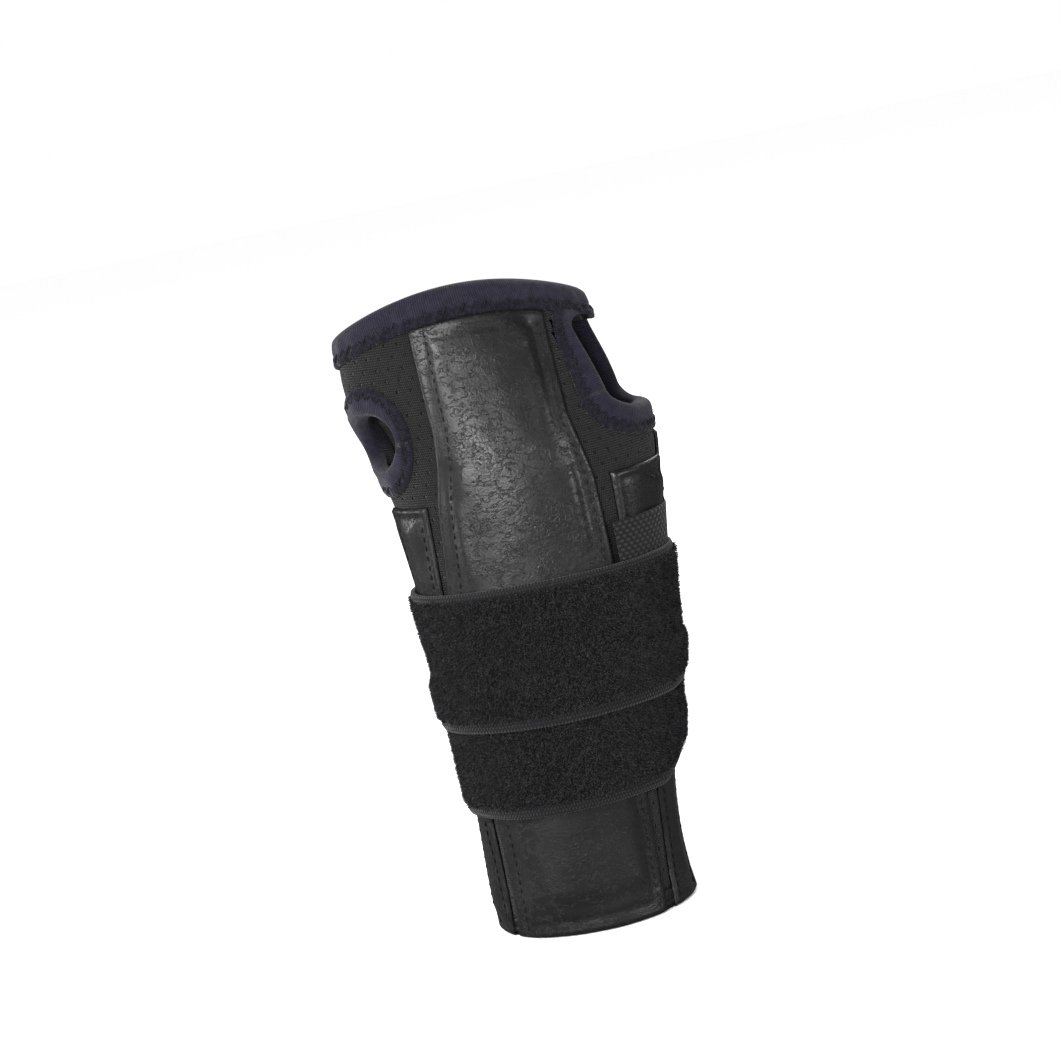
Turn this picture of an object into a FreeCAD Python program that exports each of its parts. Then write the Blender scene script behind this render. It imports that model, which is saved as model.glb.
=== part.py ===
import FreeCAD, Part
import Sketcher
import math
import os
import re

# A wrist splint for the right hand, closed as it is worn.  Millimetres: +Z runs from the forearm to
# the fingers, -Y is the palm side, +X the thumb (radial) side, -X the little-finger (ulnar) side.
# Every textile layer follows one form, an oval tube lofted through the stations below, and a layer
# is the ring between two forms that are larger than the skin by its inner and outer depth.

V = FreeCAD.Vector

# Stations of the skin form: height, centre x, centre y, half width, half depth.
STATIONS = {
    "hem": (0, 1.2, 0, 27.4, 21),
    "forearm": (44, 1.6, 0, 27.3, 20.5),
    "wrist": (74, 3.5, 0, 30.2, 20),
    "strap": (110, 4.7, 0.3, 34.2, 19.5),
    "bend": (130, 5.5, 1.8, 36.9, 19.8),
    "thumb": (150, 5, 5, 40, 20.3),
    "palm": (170, -0.6, 9, 39.6, 18.6),
    "knuckle": (187, -4.7, 12.6, 36.4, 16.2),
    "top": (207, -5.7, 16.5, 33.6, 14.4),
}
# Depth of each layer face outside the skin.
DEPTHS = {
    "skin": 0,
    "lining": 1.8,
    "shell_under": 1.9,
    "shell": 2.9,
    "trim_under": 3,
    "spring": 3.5,
    "channel_under": 3.6,
    "trim": 4,
    "cover_under": 4.1,
    "cover": 4.9,
    "web_under": 5,
    "web": 5.8,
    "strap_under": 5.9,
    "strap": 7.5,
    "lap_under": 7.6,
    "lap": 9,
}
SIZES = {
    # centre of the whole splint, taken as the origin
    "middle_x": 1.93,
    "middle_y": 2.14,
    # finger edge: an arc seen from the palm, falling towards the back of the hand
    "rim_radius": 110,
    "rim_x": -5,
    "rim_height": 202.8,
    "rim_fall": 15,
    "rim_band": 9,
    "edge_wrap": 1.2,
    "hem_tall": 1.2,
    "play": 0.1,
    # the two dorsal flaps: their hinge lines, the slit between them and the gaps
    "radial_hinge_x": 24,
    "ulnar_hinge_x": -22,
    "seam_gap": 2.5,
    "strap_gap": 3.5,
    "slit_x": 2,
    "slit_half": 2.5,
    "back_y": 3,
    "back_lean": 3.7,
    "slit_band": 7,
    # thumb opening and spare opening
    "opening_round": 5,
    "opening_band": 9,
    "opening_band_x": 20.8,
    "spare_x": -35.5,
    "spare_y": 0.6,
    "spare_height": 160,
    "spare_turn": 35,
    "spare_radius": 8.8,
    "spare_band": 10,
    "spare_reach": 12,
    # stays and their pockets
    "pocket_seam": 3,
    "side_back_y": 3,
    "side_stay_front_y": -6,
    "side_stay_back_y": 0,
    "stay_room": 1,
    "strip_back_y": 10.5,
    "stay_low": 9,
    "side_stay_high": 132,
    "back_stay_high": 152,
    "back_stay_wide": 6,
    "radial_back_stay_x": 16,
    "ulnar_back_stay_x": -14.5,
    # straps, webbing and the hook-and-loop parts
    "low_strap_bottom": 40,
    "low_strap_top": 80,
    "low_strap_split": 67.5,
    "high_strap_bottom": 68,
    "high_strap_top": 112,
    "lap_top": 81,
    "strap_end_y": 9,
    "web_bottom": 100,
    "web_top": 124.5,
    "web_x": 26.6,
    "web_end_y": 12,
    "tab_root_x": 6,
    "tab_hinge_gap": 0.6,
    "tab_tip_x": -20,
    "hook_start_x": -5,
    "hook_margin": 4,
    "hook_inset": 1.5,
    "patch_bottom": 36,
    "patch_top": 116,
    "patch_start_x": -1.2,
    "reach": 80,
}
# Outlines, seen from the palm (x, z) except the thumb opening, seen from the side (y, z).
OUTLINES = {
    "panel": [(-24.5, 0.5), (-24.5, 113), (-20.8, 165), (-21, 207), (22.5, 207), (22, 175), (25.4, 148),
              (26, 110), (21.3, 0.5)],
    "palm_stay": [(-13, 12), (-13, 100), (-17.4, 132), (-15.5, 184), (14, 184), (19, 132), (14, 100),
                  (14, 12)],
    "radial_pocket": [(24, 0.5), (29.4, 100), (30.4, 139), (60, 139), (60, 0.5)],
    "ulnar_pocket": [(-25.8, 0.5), (-60, 0.5), (-60, 139), (-25.8, 139)],
    "thumb": [(-2.4, 161), (4.6, 181), (13.5, 181), (13.5, 161)],
}

doc = FreeCAD.newDocument("WristSplint")
sheet = doc.addObject("Spreadsheet::Sheet", "Sizes")
rows = {}
for name, values in STATIONS.items():
    words = ("height", "x", "y", "half_width", "half_depth")
    rows.update({f"{name}_{word}": value for word, value in zip(words, values)})
rows.update({f"{name}_depth": value for name, value in DEPTHS.items()})
rows.update(SIZES)
for name, points in OUTLINES.items():
    for corner, (across, up) in enumerate(points):
        rows[f"{name}_across_{corner}"] = across
        rows[f"{name}_up_{corner}"] = up
for row, (name, value) in enumerate(rows.items(), start=1):
    sheet.set(f"A{row}", name)
    sheet.set(f"B{row}", str(value))
    sheet.setAlias(f"B{row}", name)
doc.recompute()


def size(name):
    """A number of the sheet."""
    return float(sheet.get(name))


def bind(item, field, words):
    """Binds a property to an expression whose words are aliases of the sheet."""
    item.setExpression(field, re.sub(r"[a-z][a-z_0-9]*", r"Sizes.\g<0>", words))


# ---------------------------------------------------------------- forms, rings and regions
forms = {}
rings = {}


def form(depth):
    """The solid inside the form that stands a named depth outside the skin."""
    if depth in forms:
        return forms[depth]
    ovals = []
    for station in STATIONS:
        oval = doc.addObject("Part::Ellipse", f"{station}_oval_{depth}")
        bind(oval, "MajorRadius", f"{station}_half_width + {depth}_depth")
        bind(oval, "MinorRadius", f"{station}_half_depth + {depth}_depth")
        bind(oval, "Placement.Base.x", f"{station}_x")
        bind(oval, "Placement.Base.y", f"{station}_y")
        bind(oval, "Placement.Base.z", f"{station}_height")
        # the curve starts and ends in the slit at the back, where no cloth crosses it
        half_width = f"(Sizes.{station}_half_width + Sizes.{depth}_depth)"
        for end in ("Angle1", "Angle2"):
            oval.setExpression(end, f"acos((Sizes.slit_x - Sizes.{station}_x) / {half_width})")
        ovals.append(oval)
    forms[depth] = doc.addObject("Part::Loft", f"form_{depth}")
    forms[depth].Sections = ovals
    forms[depth].Solid = True
    doc.recompute()
    return forms[depth]


def join(kind, base, tool, label, placement=FreeCAD.Placement()):
    """A cut or a common of two solids."""
    made = doc.addObject(kind, label)
    made.Base, made.Tool = base, tool
    made.Placement = placement
    doc.recompute()
    return made


def fuse(solids, label, placement=FreeCAD.Placement()):
    """One solid out of several that touch."""
    made = doc.addObject("Part::MultiFuse", label)
    made.Shapes = solids
    made.Placement = placement
    doc.recompute()
    return made


def ring(inner, outer):
    """The layer between two forms."""
    if (inner, outer) not in rings:
        rings[inner, outer] = join("Part::Cut", form(outer), form(inner), f"ring_{inner}_{outer}")
    return rings[inner, outer]


def outline(name):
    """A closed sketch through the corners of an outline, every corner held by the sheet."""
    sketch = doc.addObject("Sketcher::SketchObject", f"{name}_outline")
    count = len(OUTLINES[name])
    corners = [V(size(f"{name}_across_{i}"), size(f"{name}_up_{i}"), 0) for i in range(count)]
    for i, corner in enumerate(corners):
        sketch.addGeometry(Part.LineSegment(corner, corners[(i + 1) % count]), False)
    for i in range(count):
        sketch.addConstraint(Sketcher.Constraint("Coincident", i, 2, (i + 1) % count, 1))
    for i, corner in enumerate(corners):
        for kind, word, value in (("DistanceX", "across", corner.x), ("DistanceY", "up", corner.y)):
            index = sketch.addConstraint(Sketcher.Constraint(kind, -1, 1, i, 1, value))
            sketch.renameConstraint(index, f"{word}_{i}")
            bind(sketch, f"Constraints.{word}_{i}", f"{name}_{word}_{i}")
    return sketch


def extruded(flat, label, forward="reach", backward="reach"):
    """A prism from a flat outline, both ways along its normal."""
    prism = doc.addObject("Part::Extrusion", label)
    prism.Base = flat
    prism.DirMode = "Normal"
    bind(prism, "LengthFwd", forward)
    bind(prism, "LengthRev", backward)
    prism.Solid = True
    doc.recompute()
    return prism


def grown(flat, label, words):
    """The same outline moved outwards, with rounded corners."""
    made = doc.addObject("Part::Offset2D", label)
    made.Source = flat
    made.Join = "Arc"
    bind(made, "Value", words)
    doc.recompute()
    return made


def slab(label, left, right, front, back, bottom, top, lean=None):
    """A box given by its six sides, which may lean towards the back by an angle of the sheet."""
    box = doc.addObject("Part::Box", label)
    bind(box, "Length", f"({right}) - ({left})")
    bind(box, "Width", f"({back}) - ({front})")
    bind(box, "Height", f"({top}) - ({bottom})")
    bind(box, "Placement.Base.x", left)
    bind(box, "Placement.Base.y", front)
    bind(box, "Placement.Base.z", bottom)
    angle = size(lean) if lean else 0
    box.Placement = FreeCAD.Placement(V(), FreeCAD.Rotation(V(1, 0, 0), -angle))
    doc.recompute()
    return box


def rim(inset, label):
    """A tilted disc whose upper edge is the finger edge, lowered by an inset."""
    disc = doc.addObject("Part::Cylinder", label)
    bind(disc, "Radius", f"rim_radius - ({inset})")
    bind(disc, "Height", "2 * reach")
    turn = FreeCAD.Rotation(V(1, 0, 0), -90 - size("rim_fall"))
    drop = size("rim_radius") / math.cos(math.radians(size("rim_fall")))
    middle = V(size("rim_x"), 0, size("rim_height") - drop)
    disc.Placement = FreeCAD.Placement(middle - turn.multVec(V(0, 0, size("reach"))), turn)
    doc.recompute()
    return disc


nodes = {}
# Sub-parts are moved so that the middle of the whole splint's base is the origin.
HOME = FreeCAD.Placement(V(-size("middle_x"), -size("middle_y"), 0), FreeCAD.Rotation())


def keep(label, made):
    """Makes a solid one of the splint's sub-parts."""
    made.Label = label
    nodes[label] = made


def region(label, inside, without=()):
    """What lies inside every one of the first solids and outside every one of the others."""
    made = inside[0]
    steps = [("Part::Common", other) for other in inside[1:]] + [("Part::Cut", other) for other in without]
    for count, (kind, other) in enumerate(steps, start=1):
        made = join(kind, made, other, f"{label}_region_{count}")
    return made


def piece(label, blank, inside, without=(), hollow=None):
    """A named sub-part: the share of a layer that lies in a region, less a hollow."""
    kept = region(label, inside, without)
    if hollow:
        whole = join("Part::Common", blank, kept, f"{label}_blank")
        keep(label, join("Part::Cut", whole, hollow, label, HOME))
    else:
        keep(label, join("Part::Common", blank, kept, label, HOME))


def band(label, bottom, top):
    """Everything between two heights."""
    return slab(label, "-reach", "reach", "-reach", "reach", bottom, top)


floor_slab = band("below_hem", "-reach", "hem_tall + play")
hem_slab = band("hem_slab", "0", "hem_tall")
rim_whole = rim("0", "rim_whole")
rim_cloth = rim("edge_wrap", "rim_cloth")
rim_core = rim("edge_wrap - play", "rim_core")
rim_band = rim("rim_band", "rim_band")
rim_below = rim("rim_band + play", "rim_below_band")


def zone(label, left, right, lean="back_lean"):
    """The part of the back of the splint between two x planes."""
    return slab(label, left, right, "back_y", "back_y + reach", "-reach / 4", "3 * reach", lean)


# the back of the cuff is open between the hinge lines, and the two flaps stand in that window
window = zone("dorsal_window", "ulnar_hinge_x - seam_gap", "radial_hinge_x + seam_gap")
strap_window = zone("strap_window", "ulnar_hinge_x - strap_gap", "radial_hinge_x + strap_gap")
radial_zone = zone("radial_flap_zone", "slit_x + slit_half", "radial_hinge_x - seam_gap")
radial_cloth = zone("radial_cloth_zone", "slit_x + slit_half + edge_wrap", "radial_hinge_x - seam_gap")
radial_core = zone("radial_core_zone", "slit_x + slit_half + edge_wrap - play", "reach")
radial_band = zone("radial_band_zone", "slit_x + slit_half", "slit_x + slit_half + slit_band")
ulnar_zone = zone("ulnar_flap_zone", "ulnar_hinge_x + seam_gap", "slit_x - slit_half")
ulnar_cloth = zone("ulnar_cloth_zone", "ulnar_hinge_x + seam_gap", "slit_x - slit_half - edge_wrap")
ulnar_core = zone("ulnar_core_zone", "-reach", "slit_x - slit_half - edge_wrap + play")
ulnar_band = zone("ulnar_band_zone", "slit_x - slit_half - slit_band", "slit_x - slit_half")


# ---------------------------------------------------------------- openings in the cuff
thumb_shape = outline("thumb")
thumb_shape.Placement = FreeCAD.Placement(V(), FreeCAD.Rotation(V(1, 1, 1), 120))


def thumb_prism(words, label):
    """The thumb opening grown by some amount, run out through the thumb side."""
    return extruded(grown(thumb_shape, f"{label}_outline", words), label, "0", "reach")


thumb_hole = thumb_prism("opening_round", "thumb_hole")
thumb_cloth = thumb_prism("opening_round + edge_wrap", "thumb_cloth")
thumb_core = thumb_prism("opening_round + edge_wrap - play", "thumb_core")
thumb_edge = thumb_prism("opening_round + opening_band", "thumb_edge")
thumb_clear = thumb_prism("opening_round + opening_band + play", "thumb_clear")
band_side = slab("thumb_band_side", "opening_band_x", "reach", "-reach", "reach", "0", "3 * reach")
band_side_clear = slab("thumb_band_side_clear", "opening_band_x - play", "reach", "-reach", "reach",
                       "0", "3 * reach")
thumb_band = join("Part::Common", thumb_edge, band_side, "thumb_band")
thumb_band_clear = join("Part::Common", thumb_clear, band_side_clear, "thumb_band_clear")


def spare_prism(words, label):
    """A round prism through the little-finger side, square to the wall there."""
    turn = FreeCAD.Rotation(V(0, 0, 1), size("spare_turn")).multiply(FreeCAD.Rotation(V(0, 1, 0), -90))
    prism = doc.addObject("Part::Cylinder", label)
    bind(prism, "Radius", words)
    bind(prism, "Height", "2 * spare_reach")
    middle = V(size("spare_x"), size("spare_y"), size("spare_height"))
    prism.Placement = FreeCAD.Placement(middle - turn.multVec(V(0, 0, size("spare_reach"))), turn)
    doc.recompute()
    return prism


spare_hole = spare_prism("spare_radius", "spare_hole")
spare_cloth = spare_prism("spare_radius + edge_wrap", "spare_cloth")
spare_core = spare_prism("spare_radius + edge_wrap - play", "spare_core")
spare_band = spare_prism("spare_radius + spare_band", "spare_band")
spare_clear = spare_prism("spare_radius + spare_band + play", "spare_clear")

# ---------------------------------------------------------------- lining, shell and hem
for layer, faces in {"lining": ("skin", "lining"), "shell": ("shell_under", "shell")}.items():
    cloth = ring(*faces)
    piece(f"palmar_{layer}", cloth, [rim_cloth], [floor_slab, window, thumb_cloth, spare_cloth])
    piece(f"radial_flap_{layer}", cloth, [rim_cloth, radial_cloth], [floor_slab])
    piece(f"ulnar_flap_{layer}", cloth, [rim_cloth, ulnar_cloth], [floor_slab])

fold = ring("skin", "shell")
piece("palmar_hem", fold, [hem_slab], [window])
piece("radial_flap_hem", fold, [hem_slab, radial_cloth])
piece("ulnar_flap_hem", fold, [hem_slab, ulnar_cloth])

# ---------------------------------------------------------------- bindings
turn_layer = ring("skin", "trim")
band_layer = ring("trim_under", "trim")


def binding(label, inside, without, cloth):
    """A strip round a cut edge: a band on the outside of the cloth and a turn over its edge."""
    turn = join("Part::Common", turn_layer, region(f"{label}_turn", inside, list(without) + [cloth]),
                f"{label}_turn")
    flat = join("Part::Common", band_layer, region(f"{label}_band", inside, without), f"{label}_band")
    keep(label, fuse([flat, turn], label, HOME))


radial_core = region("radial_core", [radial_core, rim_core])
ulnar_core = region("ulnar_core", [ulnar_core, rim_core])
binding("palmar_rim_binding", [rim_whole], [rim_band, window], rim_core)
binding("radial_flap_rim_binding", [rim_whole, radial_zone], [rim_band], radial_core)
binding("ulnar_flap_rim_binding", [rim_whole, ulnar_zone], [rim_band], ulnar_core)
binding("radial_slit_binding", [rim_below, radial_band], [floor_slab], radial_core)
binding("ulnar_slit_binding", [rim_below, ulnar_band], [floor_slab], ulnar_core)
thumb_cloth_side = region("thumb_cloth_side", [thumb_clear], [thumb_core])
spare_cloth_side = region("spare_cloth_side", [spare_clear], [spare_core])
binding("thumb_hole_binding", [thumb_band, rim_below], [thumb_hole, window], thumb_cloth_side)
binding("spare_hole_binding", [spare_band], [spare_hole], spare_cloth_side)

# ---------------------------------------------------------------- stays and their pockets
pocket_layer = ring("trim_under", "cover")
stay_layer = ring("trim_under", "trim")
cavity_form = form("cover_under")


def palm_side(sketch):
    """Stands an outline up in the plane across the palm."""
    sketch.Placement = FreeCAD.Placement(V(), FreeCAD.Rotation(V(1, 0, 0), 90))
    return sketch


back_half = zone("back_half", "-reach", "reach")
side_back = slab("side_back", "-reach", "reach", "side_back_y", "reach", "-reach", "3 * reach")
rim_room = rim("rim_band + pocket_seam", "rim_room")
thumb_seam_edge = thumb_prism("opening_round + opening_band + pocket_seam", "thumb_seam_edge")
thumb_seam_side = slab("thumb_seam_side", "opening_band_x - pocket_seam", "reach", "-reach", "reach",
                       "0", "3 * reach")
thumb_seam = join("Part::Common", thumb_seam_edge, thumb_seam_side, "thumb_seam")
spare_seam = spare_prism("spare_radius + spare_band + pocket_seam", "spare_seam")

palm_outline = palm_side(outline("panel"))
palm_room = extruded(grown(palm_outline, "palm_pocket_seam", "-pocket_seam"), "palm_pocket_room")
palm_room = region("palm_room", [palm_room, rim_room], [back_half, thumb_seam, spare_seam])
palm_hollow = join("Part::Common", cavity_form, palm_room, "palm_pocket_hollow")
piece("palmar_stay_pocket", pocket_layer, [extruded(palm_outline, "panel_prism"), rim_below],
      [back_half, thumb_band_clear, spare_clear], palm_hollow)
stay_outline = palm_side(outline("palm_stay"))
piece("palmar_stay", stay_layer, [extruded(stay_outline, "palm_stay_prism")], [back_half])


def side_pocket(side):
    """The vinyl pocket on one side of the cuff and the straight metal strip in the channel inside it."""
    sketch = palm_side(outline(f"{side}_pocket"))
    left, right = ("0", "reach") if side == "radial" else ("-reach", "0")
    room = slab(f"{side}_stay_channel", left, right, "side_stay_front_y - stay_room",
                "side_stay_back_y + stay_room", "stay_low - stay_room", "side_stay_high + stay_room")
    hollow = join("Part::Common", cavity_form, room, f"{side}_pocket_hollow")
    prism = extruded(sketch, f"{side}_pocket_prism")
    piece(f"{side}_stay_pocket", pocket_layer, [prism], [side_back], hollow)
    strip = slab(f"{side}_stay_zone", left, right, "side_stay_front_y", "side_stay_back_y",
                 "stay_low", "side_stay_high")
    piece(f"{side}_stay", stay_layer, [strip])


side_pocket("radial")
side_pocket("ulnar")
seam_zone = slab("seam_strip_zone", "0", "reach", "side_back_y + play", "strip_back_y", "hem_tall",
                 "2 * reach")
piece("radial_seam_strip", stay_layer, [seam_zone], [thumb_band_clear])


def back_stay(side, middle):
    """A narrow spring strip beside the slit, in its own sewn channel."""
    half = "back_stay_wide / 2"
    strip = zone(f"{side}_back_stay_zone", f"{middle} - {half}", f"{middle} + {half}")
    length = band(f"{side}_back_stay_length", "stay_low", "back_stay_high")
    piece(f"{side}_back_stay", ring("trim_under", "spring"), [strip, length])
    room = region(f"{side}_channel", [
        zone(f"{side}_channel_room", f"{middle} - {half} - play", f"{middle} + {half} + play"),
        band(f"{side}_channel_length", "stay_low - play", "back_stay_high + play"),
    ])
    hollow = join("Part::Common", form("channel_under"), room, f"{side}_channel_hollow")
    if side == "radial":
        left, right = "slit_x + slit_half + slit_band + play", "radial_hinge_x - seam_gap"
    else:
        left, right = "ulnar_hinge_x + seam_gap", "slit_x - slit_half - slit_band - play"
    channel = zone(f"{side}_channel_zone", left, right)
    piece(f"{side}_back_stay_channel", stay_layer, [rim_below, channel], [floor_slab], hollow)


back_stay("radial", "radial_back_stay_x")
back_stay("ulnar", "ulnar_back_stay_x")

# ---------------------------------------------------------------- webbing and straps
web_zone = slab("web_zone", "web_x", "reach", "-reach", "web_end_y", "web_bottom", "web_top")
piece("radial_webbing", ring("web_under", "web"), [web_zone])

strap_layer = ring("strap_under", "strap")
lap_layer = ring("lap_under", "lap")
strap_back = slab("strap_ulnar_back", "-reach", "0", "strap_end_y", "reach", "0", "3 * reach")
low_zone = band("low_strap_zone", "low_strap_bottom", "low_strap_top")
piece("proximal_strap", strap_layer, [low_zone], [strap_window, strap_back])
# the strap nearer the hand lies flat above the other strap, steps outwards and laps over its upper edge
upper = join("Part::Common", ring("strap_under", "lap"),
             band("high_strap_step", "low_strap_top + play", "lap_top"), "high_strap_riser")
lower = join("Part::Common", lap_layer, band("high_strap_lap", "high_strap_bottom", "lap_top"),
             "high_strap_over")
main = join("Part::Common", strap_layer, band("high_strap_main", "low_strap_top + play", "high_strap_top"),
            "high_strap_flat")
piece("distal_strap", fuse([upper, lower, main], "high_strap_ring"),
      [band("high_strap_zone", "0", "3 * reach")], [strap_window, strap_back])

# on the back each strap runs to the slit, and its tab crosses the slit to the loop patch
run = zone("strap_run_zone", "tab_root_x + tab_hinge_gap", "radial_hinge_x - strap_gap")
tab_zone = zone("tab_zone", "tab_tip_x", "tab_root_x - tab_hinge_gap")
hook_zone = zone("hook_zone", "tab_tip_x + hook_inset", "hook_start_x")
STRAPS = {
    "proximal": ("low_strap_bottom", "low_strap_split"),
    "distal": ("high_strap_bottom", "high_strap_top"),
}
for name, (bottom, top) in STRAPS.items():
    level = band(f"{name}_level", bottom, top)
    piece(f"{name}_strap_run", strap_layer, [run, level])
    piece(f"{name}_tab", strap_layer, [tab_zone, level])
    hooks = band(f"{name}_hook_level", f"{bottom} + hook_margin", f"{top} - hook_margin")
    piece(f"{name}_hook_pad", ring("web_under", "web"), [hook_zone, hooks])

patch_zone = zone("patch_zone", "ulnar_hinge_x + seam_gap", "patch_start_x")
patch_level = band("patch_level", "patch_bottom", "patch_top")
piece("loop_patch", ring("cover_under", "cover"), [patch_zone, patch_level])

# ---------------------------------------------------------------- placing, checking and writing
doc.recompute()
for item in doc.Objects:
    if {"Invalid", "Error"} & set(item.State):
        raise RuntimeError(f"{item.Name} did not build: {item.State}")
for label, made in nodes.items():
    if made.Shape.isNull() or not made.Shape.isValid() or len(made.Shape.Solids) != 1:
        raise RuntimeError(f"{label} is not one valid solid ({len(made.Shape.Solids)})")
os.makedirs("parts", exist_ok=True)
for label, made in nodes.items():
    made.Shape.exportStep(f"parts/{label}.step")
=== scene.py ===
import bpy
import math
import numpy as np
from mathutils import Matrix, Vector
from mathutils.bvhtree import BVHTree


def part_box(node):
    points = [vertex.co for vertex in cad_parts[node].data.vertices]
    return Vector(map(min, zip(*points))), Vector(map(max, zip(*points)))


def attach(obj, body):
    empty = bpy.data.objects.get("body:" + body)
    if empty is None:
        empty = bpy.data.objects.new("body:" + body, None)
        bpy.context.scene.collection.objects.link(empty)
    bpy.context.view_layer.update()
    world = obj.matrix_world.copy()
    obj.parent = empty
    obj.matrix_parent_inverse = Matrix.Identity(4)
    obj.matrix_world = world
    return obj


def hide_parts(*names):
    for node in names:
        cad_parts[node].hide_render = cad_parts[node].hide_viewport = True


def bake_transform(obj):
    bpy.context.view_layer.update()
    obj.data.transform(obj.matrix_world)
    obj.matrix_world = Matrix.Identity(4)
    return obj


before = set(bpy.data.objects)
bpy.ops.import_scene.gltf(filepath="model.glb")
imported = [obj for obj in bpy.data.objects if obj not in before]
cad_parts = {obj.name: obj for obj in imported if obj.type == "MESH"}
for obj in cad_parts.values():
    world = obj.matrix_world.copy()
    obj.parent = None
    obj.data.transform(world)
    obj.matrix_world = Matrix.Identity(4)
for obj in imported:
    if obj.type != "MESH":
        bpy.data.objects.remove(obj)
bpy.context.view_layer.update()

# The looks of the wrist splint.  Lengths are in millimetres until a mesh is made.  A place on the
# cuff is an angle round it (-pi/2 is the palm, 0 the thumb side), a height and a depth outside the
# skin; wall() turns the three into points.
MM = 0.001
PALM = -math.pi / 2
TURN = 2 * math.pi
rng = np.random.default_rng(11)

# depths outside the skin
LINING_IN, LINING_OUT = 0.05, 1.72
KNIT_IN, KNIT_OUT = 1.85, 2.82
MID_CLOTH = 2.0  # between the lining and the knit
SEAT = 3.0  # the knit's outside, which the sewn pieces lie on
TOUCH = 3.03  # the lowest that a sewn piece's inside comes
CELL = 0.9  # the size of a small piece's grid cells
CUFF_END = 1.75  # how far the cloth's ends stand inside the finger edge and the hem
SIDES = ("radial", "ulnar")


# ---------------- the form, read from the frame
def tree_of(*nodes):
    """A tree for casting rays at CAD nodes, in millimetres."""
    points, faces = [], []
    for node in nodes:
        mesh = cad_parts[node].data
        start = len(points)
        points += [v.co / MM for v in mesh.vertices]
        faces += [[start + i for i in face.vertices] for face in mesh.polygons]
    return BVHTree.FromPolygons(points, faces)


def limits(node):
    """Lowest and highest corner of a CAD node, in millimetres."""
    low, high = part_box(node)
    return np.array(low) / MM, np.array(high) / MM


def fit_oval(points):
    """Centre and half sizes of the level ellipse through the points."""
    for _ in range(3):
        x, y = points[:, 0], points[:, 1]
        table = np.stack([x * x, y * y, x, y], 1)
        a, b, c, d = np.linalg.lstsq(table, np.ones(len(x)), rcond=None)[0]
        miss = abs(table @ np.array([a, b, c, d]) - 1)
        points = points[miss <= max(0.01, np.percentile(miss, 90))]
    cx, cy = -c / (2 * a), -d / (2 * b)
    size = 1 + a * cx * cx + b * cy * cy
    return cx, cy, math.sqrt(size / a), math.sqrt(size / b)


def read_form():
    """The inside of the lining as one oval for each height."""
    step = 4.0
    tree = tree_of("palmar_lining", "radial_flap_lining", "ulnar_flap_lining")
    top = limits("palmar_lining")[1][2]
    heights = np.arange(3.0, top - 6, step)
    rows, centre = [], Vector((0, -2, 0))
    for height in heights:
        origin = Vector((centre.x, centre.y, height))
        hits = []
        for turn in np.linspace(0, TURN, 90, endpoint=False):
            place = tree.ray_cast(origin, Vector((math.cos(turn), math.sin(turn), 0)))[0]
            if place:
                hits.append(place[:2])
        rows.append(fit_oval(np.array(hits)))
        centre = Vector((rows[-1][0], rows[-1][1], 0))
    rows = np.array(rows)
    rows[1:-1] = (rows[:-2] + 2 * rows[1:-1] + rows[2:]) / 4
    first = rows[0] + (rows[0] - rows[1]) * heights[0] / step
    last = rows[-1] + (rows[-1] - rows[-3]) / 2 * (top + 10 - heights[-1]) / step
    return np.r_[0, heights, top + 10], np.vstack([first, rows, last])


FORM_HEIGHTS, FORM = read_form()


def oval(height):
    """Centre and half sizes of the inside at a height."""
    return [np.interp(height, FORM_HEIGHTS, column) for column in FORM.T]


def wall(angle, height, depth):
    """Points of the cuff, an array whose last axis is x, y, z."""
    angle, height, depth = np.broadcast_arrays(angle, height, depth)
    cx, cy, a, b = oval(height)
    sag = 0.35 * np.sin(3 * angle + height / 31) + 0.25 * np.sin(5 * angle - height / 17 + 1)
    x = cx + (a + depth + sag) * np.cos(angle)
    y = cy + (b + depth + sag) * np.sin(angle)
    return np.stack([x, y, height], -1)


def unit(vectors):
    """The same directions with a length of 1."""
    return vectors / np.linalg.norm(vectors, axis=-1, keepdims=True)


def normal_at(angle, height):
    """The way out of the wall."""
    along = wall(angle + 0.01, height, MID_CLOTH) - wall(angle - 0.01, height, MID_CLOTH)
    up = wall(angle, height + 1, MID_CLOTH) - wall(angle, height - 1, MID_CLOTH)
    return unit(np.cross(along, up))


def angle_of(point):
    """The angle of points on the knit."""
    cx, cy, a, b = oval(point[..., 2])
    return np.arctan2((point[..., 1] - cy) / (b + SEAT), (point[..., 0] - cx) / (a + SEAT))


def palm_angle(x, height):
    """The palm-side angle at a distance x from the middle plane."""
    cx, _, a, _ = oval(height)
    return -np.arccos(np.clip((x - cx) / (a + SEAT), -1, 1))


def back_angle(x, height):
    """The same on the back."""
    return -palm_angle(x, height)


def side_angle(y, height):
    """The thumb-side angle at a distance y towards the back."""
    _, cy, _, b = oval(height)
    return np.arcsin(np.clip((y - cy) / (b + SEAT), -1, 1))


def smooth(t):
    """A soft step from 0 to 1."""
    t = np.clip(t, 0, 1)
    return t * t * (3 - 2 * t)


def hump(x, width):
    """1 at zero, falling softly to nothing on both sides."""
    return np.exp(-((x / width) ** 2))


def waves(u, v, seed):
    """A mild uneven surface, between -1 and 1, with no pattern that repeats at this size."""
    return (
        np.sin(u * 0.31 + 1.7 * np.sin(v * 0.13 + seed) + seed)
        + np.sin(v * 0.27 + 1.9 * np.sin(u * 0.17 - seed) + 2 * seed)
        + 0.6 * np.sin(u * 0.83 + v * 0.41 + 3 * seed)
    ) / 2.6


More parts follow.
